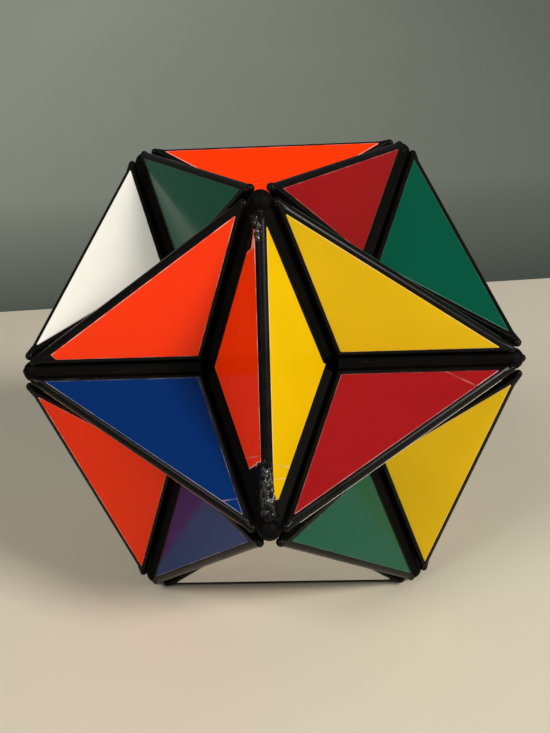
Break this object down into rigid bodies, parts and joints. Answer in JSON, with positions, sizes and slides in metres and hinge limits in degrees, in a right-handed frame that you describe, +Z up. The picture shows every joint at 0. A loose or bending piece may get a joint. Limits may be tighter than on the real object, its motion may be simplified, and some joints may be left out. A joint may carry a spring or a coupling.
{
  "type": "star twisty puzzle",
  "caption": "Twisty puzzle in the form of a great dodecahedron: two-facet edge pieces turn in stars of five about pointed caps on a hollow ball core.",
  "frame": {"origin": "centre of the puzzle, where the axes of all its points meet, which is also the middle of its bounding box", "axes": "+Z up, a threefold axis through the face of three edge pieces that it rests on; -Y towards the viewer, in the plane of the top_front point; +X to the viewer's right"},
  "size_m": [0.0774, 0.087, 0.0722],
  "materials": {
    "black_plastic": "moulded ABS, satin to gloss, worn at the points",
    "core_plastic": "moulded, as it leaves the tool",
    "screw_steel": "zinc plated",
    "label_white": "glossy vinyl label",
    "label_yellow": "glossy vinyl label",
    "label_orange": "glossy vinyl label",
    "label_red": "glossy vinyl label",
    "label_green": "glossy vinyl label",
    "label_blue": "glossy vinyl label"
  },
  "bodies": {
    "core": {"core_front_half": "core_plastic", "core_rear_half": "core_plastic"},
    "star_top_front": {"point_cap_top_front": "black_plastic", "screw_top_front": "screw_steel"},
    "star_top_right": {"point_cap_top_right": "black_plastic", "screw_top_right": "screw_steel"},
    "star_top_left": {"point_cap_top_left": "black_plastic", "screw_top_left": "screw_steel"},
    "star_upper_right": {"point_cap_upper_right": "black_plastic", "screw_upper_right": "screw_steel"},
    "star_upper_back": {"point_cap_upper_back": "black_plastic", "screw_upper_back": "screw_steel"},
    "star_upper_left": {"point_cap_upper_left": "black_plastic", "screw_upper_left": "screw_steel"},
    "star_lower_front": {"point_cap_lower_front": "black_plastic", "screw_lower_front": "screw_steel"},
    "star_lower_right": {"point_cap_lower_right": "black_plastic", "screw_lower_right": "screw_steel"},
    "star_lower_left": {"point_cap_lower_left": "black_plastic", "screw_lower_left": "screw_steel"},
    "star_bottom_right": {"point_cap_bottom_right": "black_plastic", "screw_bottom_right": "screw_steel"},
    "star_bottom_back": {"point_cap_bottom_back": "black_plastic", "screw_bottom_back": "screw_steel"},
    "star_bottom_left": {"point_cap_bottom_left": "black_plastic", "screw_bottom_left": "screw_steel"},
    "piece_top_front_top_right": {"edge_top_front_top_right": "black_plastic"},
    "piece_top_front_top_left": {"edge_top_front_top_left": "black_plastic"},
    "piece_top_front_upper_right": {"edge_top_front_upper_right": "black_plastic"},
    "piece_top_front_upper_left": {"edge_top_front_upper_left": "black_plastic"},
    "piece_top_right_upper_back": {"edge_top_right_upper_back": "black_plastic"},
    "piece_top_right_lower_right": {"edge_top_right_lower_right": "black_plastic"},
    "piece_top_right_top_left": {"edge_top_right_top_left": "black_plastic"},
    "piece_top_left_upper_back": {"edge_top_left_upper_back": "black_plastic"},
    "piece_top_left_lower_left": {"edge_top_left_lower_left": "black_plastic"},
    "piece_top_right_upper_right": {"edge_top_right_upper_right": "black_plastic"},
    "piece_upper_right_lower_front": {"edge_upper_right_lower_front": "black_plastic"},
    "piece_upper_right_lower_right": {"edge_upper_right_lower_right": "black_plastic"},
    "piece_upper_right_bottom_right": {"edge_upper_right_bottom_right": "black_plastic"},
    "piece_upper_back_bottom_back": {"edge_upper_back_bottom_back": "black_plastic"},
    "piece_top_left_upper_left": {"edge_top_left_upper_left": "black_plastic"},
    "piece_upper_left_lower_left": {"edge_upper_left_lower_left": "black_plastic"},
    "piece_top_front_lower_front": {"edge_top_front_lower_front": "black_plastic"},
    "piece_upper_left_lower_front": {"edge_upper_left_lower_front": "black_plastic"},
    "piece_lower_front_bottom_right": {"edge_lower_front_bottom_right": "black_plastic"},
    "piece_lower_front_bottom_left": {"edge_lower_front_bottom_left": "black_plastic"},
    "piece_upper_back_lower_right": {"edge_upper_back_lower_right": "black_plastic"},
    "piece_lower_right_bottom_right": {"edge_lower_right_bottom_right": "black_plastic"},
    "piece_lower_right_bottom_back": {"edge_lower_right_bottom_back": "black_plastic"},
    "piece_upper_back_lower_left": {"edge_upper_back_lower_left": "black_plastic"},
    "piece_bottom_right_bottom_back": {"edge_bottom_right_bottom_back": "black_plastic"},
    "piece_bottom_right_bottom_left": {"edge_bottom_right_bottom_left": "black_plastic"},
    "piece_lower_left_bottom_back": {"edge_lower_left_bottom_back": "black_plastic"},
    "piece_upper_left_bottom_left": {"edge_upper_left_bottom_left": "black_plastic"},
    "piece_lower_left_bottom_left": {"edge_lower_left_bottom_left": "black_plastic"},
    "piece_bottom_back_bottom_left": {"edge_bottom_back_bottom_left": "black_plastic"}
  },
  "joints": [
    {"name": "turn_top_front", "type": "hinge", "parent": "core", "child": "star_top_front", "pos_m": [0, 0, 0], "axis": [0, -0.6071, 0.7947], "range_deg": [0, 288]},
    {"name": "turn_top_right", "type": "hinge", "parent": "core", "child": "star_top_right", "pos_m": [0, 0, 0], "axis": [0.5257, 0.3035, 0.7947], "range_deg": [0, 288]},
    {"name": "turn_top_left", "type": "hinge", "parent": "core", "child": "star_top_left", "pos_m": [0, 0, 0], "axis": [-0.5257, 0.3035, 0.7947], "range_deg": [0, 288]},
    {"name": "turn_upper_right", "type": "hinge", "parent": "core", "child": "star_upper_right", "pos_m": [0, 0, 0], "axis": [0.8507, -0.4911, 0.1876], "range_deg": [0, 288]},
    {"name": "turn_upper_back", "type": "hinge", "parent": "core", "child": "star_upper_back", "pos_m": [0, 0, 0], "axis": [0, 0.9822, 0.1876], "range_deg": [0, 288]},
    {"name": "turn_upper_left", "type": "hinge", "parent": "core", "child": "star_upper_left", "pos_m": [0, 0, 0], "axis": [-0.8507, -0.4911, 0.1876], "range_deg": [0, 288]},
    {"name": "turn_lower_front", "type": "hinge", "parent": "core", "child": "star_lower_front", "pos_m": [0, 0, 0], "axis": [0, -0.9822, -0.1876], "range_deg": [0, 288]},
    {"name": "turn_lower_right", "type": "hinge", "parent": "core", "child": "star_lower_right", "pos_m": [0, 0, 0], "axis": [0.8507, 0.4911, -0.1876], "range_deg": [0, 288]},
    {"name": "turn_lower_left", "type": "hinge", "parent": "core", "child": "star_lower_left", "pos_m": [0, 0, 0], "axis": [-0.8507, 0.4911, -0.1876], "range_deg": [0, 288]},
    {"name": "turn_bottom_right", "type": "hinge", "parent": "core", "child": "star_bottom_right", "pos_m": [0, 0, 0], "axis": [0.5257, -0.3035, -0.7947], "range_deg": [0, 288]},
    {"name": "turn_bottom_back", "type": "hinge", "parent": "core", "child": "star_bottom_back", "pos_m": [0, 0, 0], "axis": [0, 0.6071, -0.7947], "range_deg": [0, 288]},
    {"name": "turn_bottom_left", "type": "hinge", "parent": "core", "child": "star_bottom_left", "pos_m": [0, 0, 0], "axis": [-0.5257, -0.3035, -0.7947], "range_deg": [0, 288]},
    {"name": "carry_top_front_top_right", "type": "hinge", "parent": "star_top_front", "child": "piece_top_front_top_right", "pos_m": [0, 0, 0], "axis": [0.5257, 0.3035, 0.7947], "range_deg": [0, 288]},
    {"name": "carry_top_front_top_left", "type": "hinge", "parent": "star_top_front", "child": "piece_top_front_top_left", "pos_m": [0, 0, 0], "axis": [-0.5257, 0.3035, 0.7947], "range_deg": [0, 288]},
    {"name": "carry_top_front_upper_right", "type": "hinge", "parent": "star_top_front", "child": "piece_top_front_upper_right", "pos_m": [0, 0, 0], "axis": [0.8507, -0.4911, 0.1876], "range_deg": [0, 288]},
    {"name": "carry_top_front_upper_left", "type": "hinge", "parent": "star_top_front", "child": "piece_top_front_upper_left", "pos_m": [0, 0, 0], "axis": [-0.8507, -0.4911, 0.1876], "range_deg": [0, 288]},
    {"name": "carry_top_right_upper_back", "type": "hinge", "parent": "star_top_right", "child": "piece_top_right_upper_back", "pos_m": [0, 0, 0], "axis": [0, 0.9822, 0.1876], "range_deg": [0, 288]},
    {"name": "carry_top_right_lower_right", "type": "hinge", "parent": "star_top_right", "child": "piece_top_right_lower_right", "pos_m": [0, 0, 0], "axis": [0.8507, 0.4911, -0.1876], "range_deg": [0, 288]},
    {"name": "carry_top_right_top_left", "type": "hinge", "parent": "star_top_left", "child": "piece_top_right_top_left", "pos_m": [0, 0, 0], "axis": [0.5257, 0.3035, 0.7947], "range_deg": [0, 288]},
    {"name": "carry_top_left_upper_back", "type": "hinge", "parent": "star_top_left", "child": "piece_top_left_upper_back", "pos_m": [0, 0, 0], "axis": [0, 0.9822, 0.1876], "range_deg": [0, 288]},
    {"name": "carry_top_left_lower_left", "type": "hinge", "parent": "star_top_left", "child": "piece_top_left_lower_left", "pos_m": [0, 0, 0], "axis": [-0.8507, 0.4911, -0.1876], "range_deg": [0, 288]},
    {"name": "carry_top_right_upper_right", "type": "hinge", "parent": "star_upper_right", "child": "piece_top_right_upper_right", "pos_m": [0, 0, 0], "axis": [0.5257, 0.3035, 0.7947], "range_deg": [0, 288]},
    {"name": "carry_upper_right_lower_front", "type": "hinge", "parent": "star_upper_right", "child": "piece_upper_right_lower_front", "pos_m": [0, 0, 0], "axis": [0, -0.9822, -0.1876], "range_deg": [0, 288]},
    {"name": "carry_upper_right_lower_right", "type": "hinge", "parent": "star_upper_right", "child": "piece_upper_right_lower_right", "pos_m": [0, 0, 0], "axis": [0.8507, 0.4911, -0.1876], "range_deg": [0, 288]},
    {"name": "carry_upper_right_bottom_right", "type": "hinge", "parent": "star_upper_right", "child": "piece_upper_right_bottom_right", "pos_m": [0, 0, 0], "axis": [0.5257, -0.3035, -0.7947], "range_deg": [0, 288]},
    {"name": "carry_upper_back_bottom_back", "type": "hinge", "parent": "star_upper_back", "child": "piece_upper_back_bottom_back", "pos_m": [0, 0, 0], "axis": [0, 0.6071, -0.7947], "range_deg": [0, 288]},
    {"name": "carry_top_left_upper_left", "type": "hinge", "parent": "star_upper_left", "child": "piece_top_left_upper_left", "pos_m": [0, 0, 0], "axis": [-0.5257, 0.3035, 0.7947], "range_deg": [0, 288]},
    {"name": "carry_upper_left_lower_left", "type": "hinge", "parent": "star_upper_left", "child": "piece_upper_left_lower_left", "pos_m": [0, 0, 0], "axis": [-0.8507, 0.4911, -0.1876], "range_deg": [0, 288]},
    {"name": "carry_top_front_lower_front", "type": "hinge", "parent": "star_lower_front", "child": "piece_top_front_lower_front", "pos_m": [0, 0, 0], "axis": [0, -0.6071, 0.7947], "range_deg": [0, 288]},
    {"name": "carry_upper_left_lower_front", "type": "hinge", "parent": "star_lower_front", "child": "piece_upper_left_lower_front", "pos_m": [0, 0, 0], "axis": [-0.8507, -0.4911, 0.1876], "range_deg": [0, 288]},
    {"name": "carry_lower_front_bottom_right", "type": "hinge", "parent": "star_lower_front", "child": "piece_lower_front_bottom_right", "pos_m": [0, 0, 0], "axis": [0.5257, -0.3035, -0.7947], "range_deg": [0, 288]},
    {"name": "carry_lower_front_bottom_left", "type": "hinge", "parent": "star_lower_front", "child": "piece_lower_front_bottom_left", "pos_m": [0, 0, 0], "axis": [-0.5257, -0.3035, -0.7947], "range_deg": [0, 288]},
    {"name": "carry_upper_back_lower_right", "type": "hinge", "parent": "star_lower_right", "child": "piece_upper_back_lower_right", "pos_m": [0, 0, 0], "axis": [0, 0.9822, 0.1876], "range_deg": [0, 288]},
    {"name": "carry_lower_right_bottom_right", "type": "hinge", "parent": "star_lower_right", "child": "piece_lower_right_bottom_right", "pos_m": [0, 0, 0], "axis": [0.5257, -0.3035, -0.7947], "range_deg": [0, 288]},
    {"name": "carry_lower_right_bottom_back", "type": "hinge", "parent": "star_lower_right", "child": "piece_lower_right_bottom_back", "pos_m": [0, 0, 0], "axis": [0, 0.6071, -0.7947], "range_deg": [0, 288]},
    {"name": "carry_upper_back_lower_left", "type": "hinge", "parent": "star_lower_left", "child": "piece_upper_back_lower_left", "pos_m": [0, 0, 0], "axis": [0, 0.9822, 0.1876], "range_deg": [0, 288]},
    {"name": "carry_bottom_right_bottom_back", "type": "hinge", "parent": "star_bottom_right", "child": "piece_bottom_right_bottom_back", "pos_m": [0, 0, 0], "axis": [0, 0.6071, -0.7947], "range_deg": [0, 288]},
    {"name": "carry_bottom_right_bottom_left", "type": "hinge", "parent": "star_bottom_right", "child": "piece_bottom_right_bottom_left", "pos_m": [0, 0, 0], "axis": [-0.5257, -0.3035, -0.7947], "range_deg": [0, 288]},
    {"name": "carry_lower_left_bottom_back", "type": "hinge", "parent": "star_bottom_back", "child": "piece_lower_left_bottom_back", "pos_m": [0, 0, 0], "axis": [-0.8507, 0.4911, -0.1876], "range_deg": [0, 288]},
    {"name": "carry_upper_left_bottom_left", "type": "hinge", "parent": "star_bottom_left", "child": "piece_upper_left_bottom_left", "pos_m": [0, 0, 0], "axis": [-0.8507, -0.4911, 0.1876], "range_deg": [0, 288]},
    {"name": "carry_lower_left_bottom_left", "type": "hinge", "parent": "star_bottom_left", "child": "piece_lower_left_bottom_left", "pos_m": [0, 0, 0], "axis": [-0.8507, 0.4911, -0.1876], "range_deg": [0, 288]},
    {"name": "carry_bottom_back_bottom_left", "type": "hinge", "parent": "star_bottom_left", "child": "piece_bottom_back_bottom_left", "pos_m": [0, 0, 0], "axis": [0, 0.6071, -0.7947], "range_deg": [0, 288]}
  ],
  "couplings": [
    {"joint": "carry_top_front_top_right", "follows": "turn_top_right", "ratio": 1},
    {"joint": "carry_top_front_top_left", "follows": "turn_top_left", "ratio": 1},
    {"joint": "carry_top_front_upper_right", "follows": "turn_upper_right", "ratio": 1},
    {"joint": "carry_top_front_upper_left", "follows": "turn_upper_left", "ratio": 1},
    {"joint": "carry_top_right_upper_back", "follows": "turn_upper_back", "ratio": 1},
    {"joint": "carry_top_right_lower_right", "follows": "turn_lower_right", "ratio": 1},
    {"joint": "carry_top_right_top_left", "follows": "turn_top_right", "ratio": 1},
    {"joint": "carry_top_left_upper_back", "follows": "turn_upper_back", "ratio": 1},
    {"joint": "carry_top_left_lower_left", "follows": "turn_lower_left", "ratio": 1},
    {"joint": "carry_top_right_upper_right", "follows": "turn_top_right", "ratio": 1},
    {"joint": "carry_upper_right_lower_front", "follows": "turn_lower_front", "ratio": 1},
    {"joint": "carry_upper_right_lower_right", "follows": "turn_lower_right", "ratio": 1},
    {"joint": "carry_upper_right_bottom_right", "follows": "turn_bottom_right", "ratio": 1},
    {"joint": "carry_upper_back_bottom_back", "follows": "turn_bottom_back", "ratio": 1},
    {"joint": "carry_top_left_upper_left", "follows": "turn_top_left", "ratio": 1},
    {"joint": "carry_upper_left_lower_left", "follows": "turn_lower_left", "ratio": 1},
    {"joint": "carry_top_front_lower_front", "follows": "turn_top_front", "ratio": 1},
    {"joint": "carry_upper_left_lower_front", "follows": "turn_upper_left", "ratio": 1},
    {"joint": "carry_lower_front_bottom_right", "follows": "turn_bottom_right", "ratio": 1},
    {"joint": "carry_lower_front_bottom_left", "follows": "turn_bottom_left", "ratio": 1},
    {"joint": "carry_upper_back_lower_right", "follows": "turn_upper_back", "ratio": 1},
    {"joint": "carry_lower_right_bottom_right", "follows": "turn_bottom_right", "ratio": 1},
    {"joint": "carry_lower_right_bottom_back", "follows": "turn_bottom_back", "ratio": 1},
    {"joint": "carry_upper_back_lower_left", "follows": "turn_upper_back", "ratio": 1},
    {"joint": "carry_bottom_right_bottom_back", "follows": "turn_bottom_back", "ratio": 1},
    {"joint": "carry_bottom_right_bottom_left", "follows": "turn_bottom_left", "ratio": 1},
    {"joint": "carry_lower_left_bottom_back", "follows": "turn_lower_left", "ratio": 1},
    {"joint": "carry_upper_left_bottom_left", "follows": "turn_upper_left", "ratio": 1},
    {"joint": "carry_lower_left_bottom_left", "follows": "turn_lower_left", "ratio": 1},
    {"joint": "carry_bottom_back_bottom_left", "follows": "turn_bottom_back", "ratio": 1}
  ]
}
